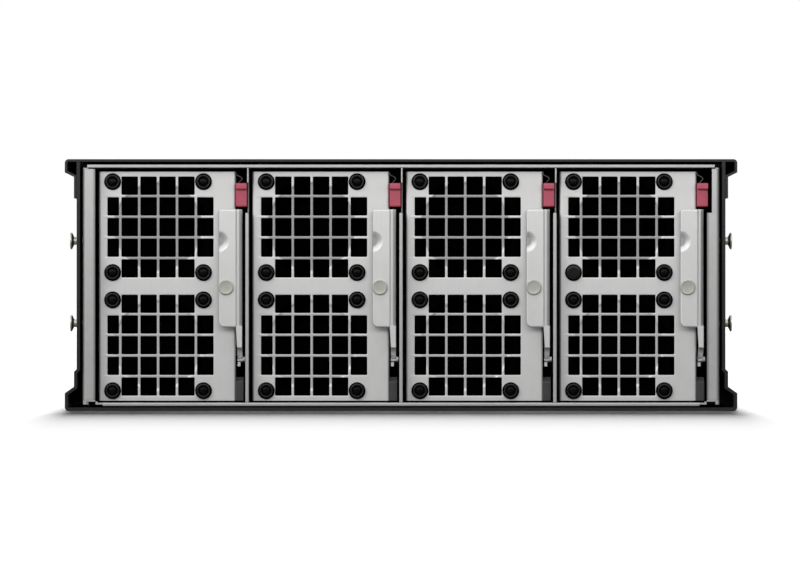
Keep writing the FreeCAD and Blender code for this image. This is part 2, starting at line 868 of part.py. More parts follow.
def impeller():
    """Fan rotor: a hub cup on a boss, with cambered blades, about the Y axis."""
    near = plate_back + impeller_near_gap
    far = fan_far - impeller_far_gap
    boss_end = fan_far - strut_depth - stator_length - shaft_end_gap
    bore = shaft_radius + shaft_clearance
    bore_near = near + hub_wall
    hub = turned([
        (0, near),
        (hub_radius, near),
        (hub_radius, far),
        (hub_radius - hub_wall, far),
        (hub_radius - hub_wall, bore_near + hub_wall),
        (hub_boss_radius, bore_near + hub_wall),
        (hub_boss_radius, boss_end),
        (bore, boss_end),
        (bore, bore_near),
        (0, bore_near),
    ], "y")
    middle = (near + far) / 2
    root = hub_radius - hub_wall / 2
    span = fan_bore - root

    def blade_curve(shift):
        """Cambered chord of a blade at its root, moved along the axis by shift."""
        start = Vector(root, near + shift, -blade_half_width)
        crown = Vector(root, middle + shift - blade_camber, blade_camber)
        end = Vector(root, far - blade_thickness + shift, blade_half_width)
        return Part.Arc(start, crown, end).toShape(), start, end

    front, front_start, front_end = blade_curve(0)
    rear, rear_start, rear_end = blade_curve(blade_thickness)
    edges = [front, Part.makeLine(front_end, rear_end), rear, Part.makeLine(rear_start, front_start)]
    blade = Part.Face(Part.Wire(Part.__sortEdges__(edges))).extrude(Vector(span, 0, 0))
    blade = blade.common(rod(fan_bore - tip_clearance, near, far, (0, 0), "y"))
    blades = []
    for i in range(blade_count):
        copy = blade.copy()
        copy.rotate(Vector(0, 0, 0), Vector(0, 1, 0), 360 * i / blade_count)
        blades.append(copy)
    hub_room = rod(hub_radius - hub_wall / 2, near, far, (0, 0), "y")
    return solid(hub.fuse([blade.cut(hub_room) for blade in blades]))


def push_rivet():
    """Rivet with a dished round head and square split legs, about the Y axis."""
    crown = plate_face - rivet_head_height
    ring = rivet_head_radius - rivet_rim
    head = turned([
        (0, crown + rivet_dish),
        (ring, crown),
        (rivet_head_radius, crown + rivet_dish),
        (rivet_head_radius, plate_face),
        (0, plate_face),
    ], "y")
    leg = centred(0, rivet_leg)
    legs = block(leg, (plate_face, plate_back + fan_flange + rivet_tail), leg)
    return solid(head.fuse(legs))


def fan_plug():
    """Plug with a flange on the tray's tab and a tongue that enters the socket."""
    base = (tray_far, tray_far + plug_flange)
    flange = block(centred(plug_x, plug_width), base, centred(plate_middle, plug_height))
    tongue = block(centred(plug_x, plug_tongue_width), (base[1], base[1] + plug_tongue),
                   centred(plate_middle, plug_tongue_height))
    return solid(flange.fuse(tongue))


def pivot_pin():
    """Shouldered pin from the tray's right return, with a retaining clip at its end."""
    wall = plate_width - tray_sheet
    end = slot_end - pin_end_gap
    pin = turned([
        (0, wall - pin_shoulder),
        (pin_shoulder_radius, wall - pin_shoulder),
        (pin_shoulder_radius, wall),
        (pin_radius, wall),
        (pin_radius, end - pin_clip),
        (pin_clip_radius, end - pin_clip),
        (pin_clip_radius, end),
        (0, end),
    ], "x")
    return solid(pin.translate(Vector(0, pin_y, pin_z)))


def foot_block():
    """Moulded block on the return's outer face at the foot of the slot."""
    low = plate_bottom
    corners = [
        (plate_face, low, foot_corner),
        (plate_face + foot_depth, low),
        (plate_face + foot_depth, low + foot_height),
        (plate_face, low + foot_height, foot_corner),
    ]
    return prism(corners, "yz", plate_width, plate_width + foot_width)


def latch_spring():
    """Leaf spring from the return's outer face down to the latch."""
    anchor = plate_top - latch_clearance
    path = [
        (plate_width + spring_sheet, anchor),
        (plate_width + spring_sheet, anchor - spring_tab, spring_bend),
        (plate_width + spring_reach, anchor - spring_tab - spring_bend, spring_bend),
        (plate_width + spring_reach / 2, latch_top + latch_clearance),
    ]
    back = plate_face + latch_back / 2
    return prism(bent_sheet(path, -spring_sheet), "xz", back - spring_width, back)


def lever():
    """Lever bent from one sheet: face, rounded right edge, side flange, and an arm with a rolled eye."""
    flange_back = lever_face + lever_flange_depth
    knee = lever_foot - arm_length
    path = [
        (lever_left, lever_face),
        (lever_right, lever_face, lever_bend),
        (lever_right, flange_back),
    ]
    body = prism(bent_sheet(path, lever_sheet), "xy", knee, lever_top)
    arm_left = lever_right - arm_width
    shape = [
        (lever_left, lever_foot, lever_bottom_corner),
        (arm_left, lever_foot),
        (arm_left + arm_taper, knee),
        (lever_right, knee),
        (lever_right, lever_top),
        (lever_left, lever_top, lever_top_corner),
    ]
    body = body.common(prism(shape, "xz", lever_face, flange_back))
    roll = eye_radius * math.sqrt(0.5)
    strap = [
        (lever_face, knee),
        (pin_y - roll, pin_z + roll),
        (pin_y, pin_z),
        (pin_y, pin_z + eye_radius),
        (lever_face + lever_sheet, knee + lever_sheet),
    ]
    web = [
        (lever_face, knee),
        (pin_y - roll, pin_z + roll),
        (pin_y + eye_radius, pin_z),
        (flange_back, lever_foot),
        (lever_face + lever_bend, lever_foot),
    ]
    eye_x = (arm_left + arm_taper, lever_right)
    arm = prism(strap, "yz", *eye_x).fuse([
        prism(web, "yz", lever_right - lever_sheet, lever_right),
        rod(eye_radius, *eye_x, (pin_y, pin_z), "x"),
    ])
    body = body.fuse(arm).cut(rod(pin_radius + pin_clearance, *eye_x, (pin_y, pin_z), "x"))
    ball = (dimple_radius ** 2 + dimple_depth ** 2) / (2 * dimple_depth)
    centre = Vector(lever_left, lever_face + dimple_depth - ball, lever_top - dimple_drop)
    swell = Part.makeSphere(ball + lever_sheet, centre)
    reach = dimple_radius + lever_sheet
    room = block((lever_left, lever_left + reach), (lever_back - lever_sheet / 2, plate_face),
                 centred(lever_top - dimple_drop, 2 * reach))
    body = body.fuse(swell.common(room)).cut(Part.makeSphere(ball, centre))
    line = lever_right - lever_bend
    half = lever_crease_width / 2
    crease = [(line - half, lever_face), (line + half, lever_face), (line, lever_face + lever_crease)]
    body = body.cut(prism(crease, "xy", lever_foot, lever_top))
    stud = (lever_left + stud_inset, lever_top - stud_drop)
    return solid(body.cut(rod(stud_shank_radius, lever_face, lever_back, stud, "y")))


def lever_stud():
    """Nickel disc on the lever's face, riveted over behind it."""
    tail = lever_back + stud_tail_height
    stud = turned([
        (0, lever_face - stud_disc_height),
        (stud_disc_radius, lever_face - stud_disc_height),
        (stud_disc_radius, lever_face),
        (stud_shank_radius, lever_face),
        (stud_shank_radius, lever_back),
        (stud_tail_radius, lever_back),
        (stud_tail_radius, tail),
        (0, tail),
    ], "y")
    return solid(stud.translate(Vector(lever_left + stud_inset, 0, lever_top - stud_drop)))


def latch():
    """Red catch with a thumb ridge, held to the return by a tab and its keeper."""
    face = plate_face - latch_front
    ridge = face - latch_ridge
    back = plate_face + latch_back
    under = latch_top - latch_ridge_height
    side_view = [
        (back, latch_bottom),
        (back, latch_top),
        (ridge, latch_top, latch_ridge_round),
        (ridge, under, latch_ridge_round),
        (face, under),
        (face, latch_bottom + latch_toe),
        (face + latch_toe, latch_bottom),
    ]
    left = plate_width + latch_clearance
    right = slot_end - latch_clearance
    body = prism(side_view, "yz", left, right)
    tab_y = centred(back - latch_tab_depth, latch_tab_depth)
    tab_z = centred((latch_bottom + latch_top) / 2, latch_tab_height)
    keeper_right = plate_width - tray_sheet - latch_clearance
    keeper_left = keeper_right - latch_keeper
    tab = block((keeper_left, left), tab_y, tab_z)
    lip_y = (tab_y[0], tab_y[1] + latch_keeper_lip)
    keeper = block((keeper_left, keeper_right), lip_y, tab_z)
    return solid(body.fuse([tab, keeper]))


def placed(piece, x, z=0.0):
    """Copy of a drawer's piece moved to its bay, and to its fan's level."""
    copy = piece.copy()
    copy.translate(Vector(x, 0, z))
    return copy


os.makedirs("parts", exist_ok=True)

save("case_base", [case_base()])
save("case_lid", [case_lid()])
save("side_studs", side_studs())
save("cage_base", [cage_base()])
save("cage_top", [cage_top()])
save("bay_dividers", bay_dividers())
save("cage_spacers", cage_spacers())
save("midplane_board", [midplane_board()])
save("fan_sockets", fan_sockets())
save("blade_sockets", blade_sockets())
save("blade_guides", blade_guides())
blank = bay_blank()
save("bay_blanks", [placed(blank, bay_left(bay)) for bay in range(bay_count)])

single_pieces = {
    "fan_tray": fan_tray(),
    "fan_plug": fan_plug(),
    "pivot_pin": pivot_pin(),
    "foot_block": foot_block(),
    "latch_spring": latch_spring(),
    "lever": lever(),
    "lever_stud": lever_stud(),
    "latch": latch(),
}
housing = fan_housing()
rotor = impeller()
rivet = push_rivet()

for bay in range(bay_count):
    left = drawer_left(bay)
    number = "_" + str(bay + 1)
    for name, piece in single_pieces.items():
        save(name + number, [placed(piece, left)])
    save("fan_housings" + number, [placed(housing, left + fan_x, z) for z in fan_levels])
    save("upper_impeller" + number, [placed(rotor, left + fan_x, fan_levels[0])])
    save("lower_impeller" + number, [placed(rotor, left + fan_x, fan_levels[1])])
    save("push_rivets" + number, [placed(rivet, left + x, z) for x, z in rivet_places()])
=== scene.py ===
import math

import bmesh
import bpy
import numpy as np
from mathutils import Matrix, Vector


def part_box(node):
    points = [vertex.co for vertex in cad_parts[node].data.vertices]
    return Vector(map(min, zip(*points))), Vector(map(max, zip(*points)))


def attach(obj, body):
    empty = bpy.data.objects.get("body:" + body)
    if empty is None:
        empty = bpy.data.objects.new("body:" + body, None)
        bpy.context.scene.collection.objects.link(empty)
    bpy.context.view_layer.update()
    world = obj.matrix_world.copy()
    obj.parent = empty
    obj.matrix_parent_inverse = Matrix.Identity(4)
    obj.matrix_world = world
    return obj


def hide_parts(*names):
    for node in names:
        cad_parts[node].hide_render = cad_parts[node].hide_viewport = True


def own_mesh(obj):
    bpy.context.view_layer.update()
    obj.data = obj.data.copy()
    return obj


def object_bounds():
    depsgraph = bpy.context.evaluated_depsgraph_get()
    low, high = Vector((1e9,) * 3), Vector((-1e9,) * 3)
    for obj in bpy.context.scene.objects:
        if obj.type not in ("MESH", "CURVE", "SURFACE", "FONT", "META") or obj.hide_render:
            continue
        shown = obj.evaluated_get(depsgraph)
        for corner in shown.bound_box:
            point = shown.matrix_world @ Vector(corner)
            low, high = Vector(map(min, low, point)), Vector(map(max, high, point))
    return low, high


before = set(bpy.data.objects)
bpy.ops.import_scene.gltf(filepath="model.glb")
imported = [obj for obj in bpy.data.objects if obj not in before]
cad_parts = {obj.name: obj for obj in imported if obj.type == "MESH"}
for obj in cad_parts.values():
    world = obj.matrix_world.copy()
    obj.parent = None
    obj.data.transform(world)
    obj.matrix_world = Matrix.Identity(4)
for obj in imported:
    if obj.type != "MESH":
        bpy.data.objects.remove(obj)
cad_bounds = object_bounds()

# Case: a tray and a lid bent from steel sheet, with lobed corners, in satin black powder coat. The
# lid's skirts lap over the tray's walls, and countersunk screws hold them there.

mm = 0.001


class Value:
    """A socket of a finish. Arithmetic on it adds Math nodes, and node() adds any other node."""

    def __init__(self, tree, socket=None):
        self.tree = tree
        self.socket = socket

    def node(self, kind, settings, links, output=0):
        """Adds a node: its settings first, then each socket's value or link. Gives one output."""
        made = self.tree.nodes.new("ShaderNode" + kind)
        for name, setting in settings.items():
            setattr(made, name, setting)
        for name, value in links.items():
            if isinstance(value, Value):
                self.tree.links.new(value.socket, made.inputs[name])
            else:
                made.inputs[name].default_value = value
        return Value(self.tree, made.outputs[output])

    def math(self, operation, first, second):
        """Math node of two terms."""
        return self.node("Math", {"operation": operation}, {0: first, 1: second})

    def __add__(self, other):
        return self.math("ADD", self, other)

    def __radd__(self, other):
        return self.math("ADD", other, self)

    def __sub__(self, other):
        return self.math("SUBTRACT", self, other)

    def __rsub__(self, other):
        return self.math("SUBTRACT", other, self)

    def __mul__(self, other):
        return self.math("MULTIPLY", self, other)

    def __rmul__(self, other):
        return self.math("MULTIPLY", other, self)

    def noise(self, size, detail=2.0):
        """Cloudy noise on these coordinates, with patches of about that size in metres."""
        return self.node("TexNoise", {}, {"Vector": self, "Scale": 1 / size, "Detail": detail})

    def stretched(self, x, y, z):
        """These coordinates with each axis multiplied, so that a pattern runs out along an axis."""
        return self.node("Mapping", {}, {"Vector": self, "Scale": (x, y, z)})

    def ramp(self, start, end):
        """0 at the start and beyond it, 1 at the end and beyond it, straight between."""
        return self.node("MapRange", {}, {"Value": self, "From Min": start, "From Max": end})

    def band(self, low, high):
        """1 between low and high and 0 outside them, with a change over a tenth of a millimetre at each."""
        return self.ramp(low, low + 0.1 * mm) * self.ramp(high, high - 0.1 * mm)

    def between(self, low, high):
        """Colour from low to high as the value goes from 0 to 1."""
        return self.node("Mix", {"data_type": "RGBA"}, {0: self, 6: low + (1,), 7: high + (1,)}, 2)

    def feed(self, shader, name):
        """Links the value to a socket of the shader."""
        self.tree.links.new(self.socket, shader.inputs[name])


def start_finish(name, **constants):
    """New material: gives it, its Object coordinates and its shader, with constant sockets set."""
    material = bpy.data.materials.new(name)
    material.use_nodes = True
    tree = material.node_tree
    shader = tree.nodes["Principled BSDF"]
    for socket, value in constants.items():
        shader.inputs[socket.replace("_", " ")].default_value = value
    return material, Value(tree).node("TexCoord", {}, {}, "Object"), shader


def grain(place, height, strength, depth, shader):
    """Bump from a height between 0 and 1."""
    bump = place.node("Bump", {}, {"Strength": strength, "Distance": depth, "Height": height})
    bump.feed(shader, "Normal")


def powder_coat():
    """Satin black: orange-peel grain about a millimetre across, with slightly uneven gloss."""
    material, place, shader = start_finish("case_black", Specular_IOR_Level=0.26)
    cloud = place.noise(12 * mm, 4.0)
    cloud.between((0.009, 0.009, 0.010), (0.014, 0.014, 0.015)).feed(shader, "Base Color")
    (0.42 + 0.06 * cloud).feed(shader, "Roughness")
    grain(place, place.noise(1.1 * mm, 3.0), 0.12, 0.2 * mm, shader)
    return material


def paint(node, finish):
    """Gives a CAD node its finish."""
    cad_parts[node].material_slots[0].material = finish


def dress(node, finish, edge):
    """Gives a CAD node its finish, welds its loose triangles, joins those that lie in one plane and rounds
    its sharp edges."""
    paint(node, finish)
    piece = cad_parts[node]
    weld = piece.modifiers.new("weld", "WELD")
    weld.merge_threshold = 0.001 * mm
    flat = piece.modifiers.new("flat", "DECIMATE")
    flat.decimate_type = "DISSOLVE"
    flat.angle_limit = math.radians(0.2)
    bevel = piece.modifiers.new("edges", "BEVEL")
    bevel.width = edge
    bevel.segments = 2
    bevel.limit_method = "ANGLE"
    bevel.angle_limit = math.radians(40)
    normals = piece.modifiers.new("normals", "WEIGHTED_NORMAL")
    normals.keep_sharp = False
    normals.weight = 100


case_black = powder_coat()
for node in ("case_base", "case_lid"):
    dress(node, case_black, 0.35 * mm)

# Lid screws: small countersunk machine screws with a cross recess, blackened like the case, three
# along each skirt.

screw_head, screw_shank, screw_length = 2.9 * mm, 1.45 * mm, 6.0 * mm
screw_cone, screw_sunk = 1.45 * mm, 0.1 * mm
screw_rows, screw_drop = (-140 * mm, 0.0, 140 * mm), 20 * mm
lobe_reach = 6.2 * mm       # from the lobes' outer faces in to the skirts
recess_width, recess_radius, recess_depth = 0.42 * mm, 1.75 * mm, 0.8 * mm


def grid_faces(rows, columns, closed):
    """Quads between neighbouring rows of a grid of points, run round to the first column if closed."""
    row, column = np.mgrid[0:rows - 1, 0:columns if closed else columns - 1]
    after = (column + 1) % columns
    start, below = row * columns, (row + 1) * columns
    return np.stack([start + column, start + after, below + after, below + column], -1).reshape(-1, 4)


def shell(name, points, faces, finish, crease=35):
    """Mesh object: points that coincide are joined, faces turned outwards, and edges over the crease kept
    sharp."""
    points = np.round(np.concatenate([part.reshape(-1, 3) for part in points]), 8)
    places, index = np.unique(points, axis=0, return_inverse=True)
    index = index.reshape(-1)
    polygons = [polygon for group in faces for polygon in index[group].tolist()]
    mesh = bpy.data.meshes.new(name)
    mesh.from_pydata(places.tolist(), [], polygons)
    work = bmesh.new()
    work.from_mesh(mesh)
    bmesh.ops.recalc_face_normals(work, faces=work.faces)
    work.to_mesh(mesh)
    work.free()
    mesh.polygons.foreach_set("use_smooth", np.ones(len(mesh.polygons), bool))
    mesh.set_sharp_from_angle(angle=math.radians(crease))
    mesh.materials.append(finish)
    piece = bpy.data.objects.new(name, mesh)
    bpy.context.scene.collection.objects.link(piece)
    return piece


def turned_copies(radius, along, centres, segments, axis):
    """Profile (radius, along) turned about an axis through each centre; both ends closed by flat caps."""
    angle = np.linspace(0, 2 * np.pi, segments, endpoint=False)
    ring_a = np.outer(radius, np.cos(angle))
    ring_b = np.outer(radius, np.sin(angle))
    run = np.repeat(np.asarray(along)[:, None], segments, 1)
    turned = np.stack([run, ring_a, ring_b] if axis == "x" else [ring_a, run, ring_b], -1)
    points = turned[None] + np.asarray(centres)[:, None, None, :]
    count = len(radius) * segments
    starts = np.arange(len(centres))[:, None, None] * count
    sides = (grid_faces(len(radius), segments, True)[None] + starts).reshape(-1, 4)
    caps = np.stack([np.arange(segments), np.arange(segments) + count - segments])
    return points, [sides, (caps[None] + starts).reshape(-1, segments)]


def screw_points(side, segments=64):
    """Screw along X: rings of the head's face, sunk inside a cross with rounded ends, then cone and shank."""
    angle = np.linspace(0, 2 * np.pi, segments, endpoint=False)
    radius = np.linspace(0.15 * mm, screw_head, 18)
    y, z = np.outer(radius, np.cos(angle)), np.outer(radius, np.sin(angle))
    inside = np.minimum(recess_width - np.minimum(abs(y), abs(z)), recess_radius - np.hypot(y, z))
    sunk = recess_depth * np.clip(inside / (0.15 * mm), 0, 1)
    rims = np.array([screw_shank, screw_shank])
    depth = np.array([screw_cone, screw_length])
    y = np.concatenate([y, np.outer(rims, np.cos(angle))])
    z = np.concatenate([z, np.outer(rims, np.sin(angle))])
    sunk = np.concatenate([sunk, np.repeat(depth[:, None], segments, 1)])
    count = len(y)
    ends = np.stack([np.arange(segments), np.arange(segments) + (count - 1) * segments])
    return np.stack([-side * sunk, y, z], -1), [grid_faces(count, segments, True), ends]


skirt_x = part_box("case_base")[1].x - lobe_reach - screw_sunk
for side, side_name in ((1, "right"), (-1, "left")):
    for number, y in enumerate(screw_rows):
        points, faces = screw_points(side)
        points = points + np.array([side * skirt_x, y, cad_bounds[1].z - screw_drop])
        screw = shell("lid_screw_%s_%d" % (side_name, number + 1), [points], faces, case_black)
        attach(screw, "chassis")

# Side studs: turned mushroom-head studs in dull nickel, screwed through the case wall into the cage.
# A rack rail's keyholes slide over their heads.


def nickel_plate(name, dark, light):
    """Dull nickel: warm grey metal with faint handling haze and a fine grain."""
    material, place, shader = start_finish(name, Metallic=1.0)
    haze = place.noise(3 * mm, 3.0)
    haze.between(dark, light).feed(shader, "Base Color")
    (0.36 + 0.22 * haze).feed(shader, "Roughness")
    grain(place, place.noise(0.6 * mm), 0.10, 0.1 * mm, shader)
    return material


nickel = nickel_plate("nickel", (0.44, 0.44, 0.385), (0.52, 0.52, 0.455))
dress("side_studs", nickel, 0.3 * mm)

# Inner cage: floor with side walls, roof, and partitions, folded from zinc-plated sheet with hemmed
# edges, and four blanking panels on the far side.

cage_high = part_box("cage_base")[1]
flange_width, flange_roll, flange_lean = 8.6 * mm, 2.0 * mm, 2.0 * mm
flange_foot, flange_top = 7.4 * mm, 163.6 * mm
hem_depth, cut_half = 8.0 * mm, 0.4 * mm
notch_low, notch_high, notch_bare = 134.2 * mm, 154.2 * mm, 0.45


def cage_plate():
    """Zinc-plated sheet with a faint spangle and rolling streaks along Z. It is bare along its near edges and
    on its far faces; further in, painted shade turns it to a matt near-black, which is laid only in part at
    the cut edge at the bottom of the notches in the hems. Painted shade also darkens the flanges towards
    their inner edge, and the flanges lean outwards at a line near their outer edge."""
    material, place, shader = start_finish("cage_zinc", Metallic=0.45)
    spangle = place.noise(5 * mm, 3.0)
    streak = place.stretched(1, 1, 0.04).noise(0.9 * mm)
    across, depth, up = [place.node("SeparateXYZ", {}, {0: place}, axis) for axis in "XYZ"]
    from_side = cage_high.x - place.math("ABSOLUTE", across, 0.0)
    from_edge = depth + cage_high.y
    from_back = cage_high.y - depth
    cut_edge = from_edge.band(hem_depth - cut_half, hem_depth + cut_half)
    # Painted shade: a matt near-black beyond 2 to 4 mm from the near edges, laid only in part at the cut edge
    # at the foot of the notches.
    notch_unshaded = notch_bare * up.band(notch_low, notch_high) * cut_edge
    black = from_edge.ramp(2 * mm, 4 * mm) * from_back.ramp(0.5 * mm, 1.0 * mm) * (1 - notch_unshaded)
    on_flange = from_side.ramp(flange_width, flange_width - 0.1 * mm) * up.band(flange_foot, flange_top)
    # Painted shade darkening each flange over the 2 mm next to its inner edge.
    rolled = on_flange * from_side.ramp(flange_width - flange_roll, flange_width) * 0.75
    bare = (0.6 * spangle + 0.4 * streak).between((0.39, 0.39, 0.385), (0.48, 0.48, 0.475))
    dark = (0.003, 0.003, 0.003, 1)
    place.node("Mix", {"data_type": "RGBA"}, {0: rolled, 6: bare, 7: dark}, 2).feed(shader, "Base Color")
    (0.38 + 0.12 * spangle).feed(shader, "Roughness")
    lean = from_side.ramp(0.0, flange_lean) * on_flange
    grain(place, lean + 0.05 * streak, 1.0, 0.8 * mm, shader)
    # Where the painted shade is full, a matt near-black diffuse takes the place of the zinc.
    shade_shader = place.node("BsdfDiffuse", {}, {"Color": dark})
    shaded_zinc = place.node("MixShader", {}, {0: black, 1: Value(place.tree, shader.outputs[0]), 2: shade_shader})
    shaded_zinc.feed(place.tree.nodes["Material Output"], "Surface")
    return material


cage_zinc = cage_plate()
for node in ("cage_base", "cage_top", "bay_dividers"):
    dress(node, cage_zinc, 0.45 * mm)
dress("bay_blanks", case_black, 0.3 * mm)

# Midplane: a green circuit board across the cage, with moulded black sockets on both faces, dark
# nylon guides for the blades, and rubber pads that carry the cage.


def solder_mask():
    """Dark green lacquer with a grid of copper tracks that shows faintly through."""
    material, place, shader = start_finish("board_green", Specular_IOR_Level=0.08, Roughness=0.6)
    track = place.node("TexBrick", {}, {"Vector": place, "Scale": 120.0}, "Fac")
    track.between((0.002, 0.010, 0.005), (0.004, 0.016, 0.008)).feed(shader, "Base Color")
    return material


def moulded(name, low, high, rough, shine):
    """Moulded plastic or rubber: fine spark-eroded grain and slightly uneven colour."""
    material, place, shader = start_finish(name, Specular_IOR_Level=shine)
    cloud = place.noise(4 * mm)
    cloud.between(low, high).feed(shader, "Base Color")
    (rough + 0.12 * cloud).feed(shader, "Roughness")
    grain(place, place.noise(0.35 * mm), 0.15, 0.05 * mm, shader)
    return material


paint("midplane_board", solder_mask())
connector_black = moulded("connector_plastic", (0.008, 0.008, 0.008), (0.014, 0.014, 0.014), 0.5, 0.3)
paint("fan_sockets", connector_black)
paint("blade_sockets", connector_black)
paint("blade_guides", moulded("guide_nylon", (0.015, 0.015, 0.016), (0.025, 0.025, 0.026), 0.5, 0.3))
paint("cage_spacers", moulded("spacer_rubber", (0.008, 0.008, 0.008), (0.014, 0.014, 0.014), 0.8, 0.2))

# Fan trays: the drawers' faces, punched from zinc-plated sheet with square cells over each fan, then
# pressed to a shallow round dish and bent back along both sides, with flat returns above and below.

drawers = ("1", "2", "3", "4")
sheet, side_bend = 1.2 * mm, 1.4 * mm
cell_pitch_x, cell_pitch_z, cell_bar = 12.8 * mm, 14.0 * mm, 1.65 * mm
cell_corner, cell_edge, cell_margin = 0.7 * mm, 0.22 * mm, 0.7 * mm
dish_radius, dish_slope, dish_depth = 30.6 * mm, 1.4 * mm, 0.7 * mm
side_points = 32            # points along a tile's side
lower_dish_shade = 0.45           # painted shade in the lower dishes, where the upper ones have 1
relief, tab_margin = 0.4 * mm, 2 * mm

tray_low, tray_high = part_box("fan_tray_1")
fans_low, fans_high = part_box("fan_housings_1")
plate_face, tray_far = tray_low.y, tray_high.y
plate_width = tray_high.x - tray_low.x
fan_half = (fans_high.x - fans_low.x) / 2
fan_middle = (fans_low.x + fans_high.x) / 2 - tray_low.x
fan_levels = np.array([fans_low.z + fan_half, fans_high.z - fan_half])


def dish(x, z):
    """How far the sheet is pressed in: 0 outside the round dish, 1 inside, with a smooth step at its rim."""
    level = np.where(z < fan_levels.mean(), fan_levels[0], fan_levels[1])
    inward = np.clip((dish_radius - np.hypot(x - fan_middle, z - level)) / dish_slope, 0, 1)
    return inward * inward * (3 - 2 * inward)


def face_point(x, z, depth):
    """Point of the face sheet at a depth behind its dished near surface."""
    return np.stack([x, plate_face + dish_depth * dish(x, z) + depth, z], -1)


def crowded(count):
    """Even steps from 0 to 1, drawn together towards both ends, where the cells' corners are."""
    step = np.arange(count) / count
    return step - 0.6 * np.sin(2 * np.pi * step) / (2 * np.pi)


def tray_face():
    """The face as tiles, one for each cell and each plain stretch. A pierced tile is a ring from the tile's
    rectangle to the cell's rounded square, carried on over the broken edge and through the sheet."""
    along = crowded(side_points)
    ones, zeros = np.ones(side_points), np.zeros(side_points)
    across = np.concatenate([along, ones, 1 - along, zeros])
    up = np.concatenate([zeros, along, ones, 1 - along])
    columns_x = fan_middle + cell_pitch_x * np.arange(-2, 4)
    x_edges = np.concatenate([[side_bend], columns_x, [plate_width - side_bend]])
    fan_rows = fan_levels[:, None] + cell_pitch_z * (np.arange(6) - 2.5)
    z_edges = np.concatenate([[tray_low.z], fan_rows.reshape(-1), [tray_high.z]])
    row, column = np.mgrid[0:len(z_edges) - 1, 0:len(x_edges) - 1]
    row, column = row.reshape(-1), column.reshape(-1)
    x0, x1, z0, z1 = x_edges[column], x_edges[column + 1], z_edges[row], z_edges[row + 1]
    end_row = (row % 6 == 1) | (row % 6 == 5)
    side_column = (column == 0) | (column == 5)
    pierced = (row % 6 != 0) & (column < 6) & ~(side_column & end_row)

    def loop(low_x, high_x, low_z, high_z):
        """Points round each rectangle."""
        x = low_x[:, None] + np.outer(high_x - low_x, across)
        return x, low_z[:, None] + np.outer(high_z - low_z, up)

    tile_x, tile_z = loop(x0, x1, z0, z1)
    half_bar = cell_bar / 2
    left = np.maximum(x1 + half_bar - cell_pitch_x, fan_middle - fan_half + cell_margin)[pierced]
    right, foot, head = (x1 - half_bar)[pierced], (z0 + half_bar)[pierced], (z1 - half_bar)[pierced]
    cell_x, cell_z = loop(left, right, foot, head)
    core_x = np.clip(cell_x, (left + cell_corner)[:, None], (right - cell_corner)[:, None])
    core_z = np.clip(cell_z, (foot + cell_corner)[:, None], (head - cell_corner)[:, None])
    out_x, out_z = cell_x - core_x, cell_z - core_z
    reach = np.hypot(out_x, out_z)

    def ring(spread, depth):
        """The cell's rounded outline, widened by spread, at a depth in the sheet."""
        size = (cell_corner + spread) / reach
        return face_point(core_x + out_x * size, core_z + out_z * size, depth)

    broken = cell_edge * (1 - math.sqrt(0.5))
    outer_x, outer_z = tile_x[pierced], tile_z[pierced]
    rings = np.stack([
        face_point(outer_x, outer_z, 0),
        ring(cell_edge, 0),
        ring(broken, broken),
        ring(0, cell_edge),
        ring(0, sheet),
        face_point(outer_x, outer_z, sheet),
    ], 1)
    tiles, levels, count = rings.shape[:3]
    starts = np.arange(tiles)[:, None, None] * levels * count
    ring_faces = (grid_faces(levels, count, True)[None] + starts).reshape(-1, 4)
    plain_x, plain_z = tile_x[~pierced], tile_z[~pierced]
    plain = np.stack([face_point(plain_x, plain_z, 0), face_point(plain_x, plain_z, sheet)])
    plain_faces = np.arange(2 * len(plain_x) * count).reshape(-1, count) + rings.size // 3
    lines_x = np.append((x_edges[:-1, None] + np.outer(np.diff(x_edges), along)).reshape(-1), x_edges[-1])
    lines_z = np.append((z_edges[:-1, None] + np.outer(np.diff(z_edges), along)).reshape(-1), z_edges[-1])
    return [rings, plain], [ring_faces, plain_faces], lines_x, lines_z


def tray_edges(lines_x, lines_z, first):
    """What closes the face sheet: strips across its top and bottom edges, and both sides bent back round an
    arc of the bend's radius to the returns, whose inner surface follows at the sheet's thickness."""
    points, faces = [], []

    def add(grid):
        nonlocal first
        points.append(grid)
        faces.append(grid_faces(*grid.shape[:2], False) + first)
        first += grid.shape[0] * grid.shape[1]

    for z in (tray_low.z, tray_high.z):
        level = np.full_like(lines_x, z)
        add(np.stack([face_point(lines_x, level, 0), face_point(lines_x, level, sheet)]))
    turn = np.linspace(0, np.pi / 2, 7)
    centre_y = plate_face + side_bend
    inner = side_bend - sheet
    outer_side = np.stack([side_bend - side_bend * np.sin(turn), centre_y - side_bend * np.cos(turn)], -1)
    inner_side = np.stack([side_bend - inner * np.sin(turn), centre_y - inner * np.cos(turn)], -1)
    outer_side = np.concatenate([outer_side, [[0, tray_far]]])
    inner_side = np.concatenate([inner_side, [[sheet, tray_far]]])
    profile = np.concatenate([outer_side, inner_side[::-1]])
    for flip in (False, True):
        x = plate_width - profile[:, 0] if flip else profile[:, 0]
        y = profile[:, 1]
        add(np.stack(np.broadcast_arrays(x[None], y[None], lines_z[:, None]), -1))
        half = len(x) // 2
        for z in (tray_low.z, tray_high.z):
            pair = np.stack([np.stack([line[:half], line[:half - 1:-1]]) for line in (x, y)], -1)
            add(np.concatenate([pair, np.full(pair.shape[:2] + (1,), z)], -1))
    return points, faces


def box_points(low, high):
    """The eight corners of a box, and its six sides."""
    corners = np.stack(np.meshgrid(*zip(low, high), indexing="ij"), -1).reshape(-1, 3)
    sides = np.array([[0, 1, 3, 2], [4, 6, 7, 5], [0, 4, 5, 1], [2, 3, 7, 6], [0, 2, 6, 4], [1, 5, 7, 3]])
    return corners, sides


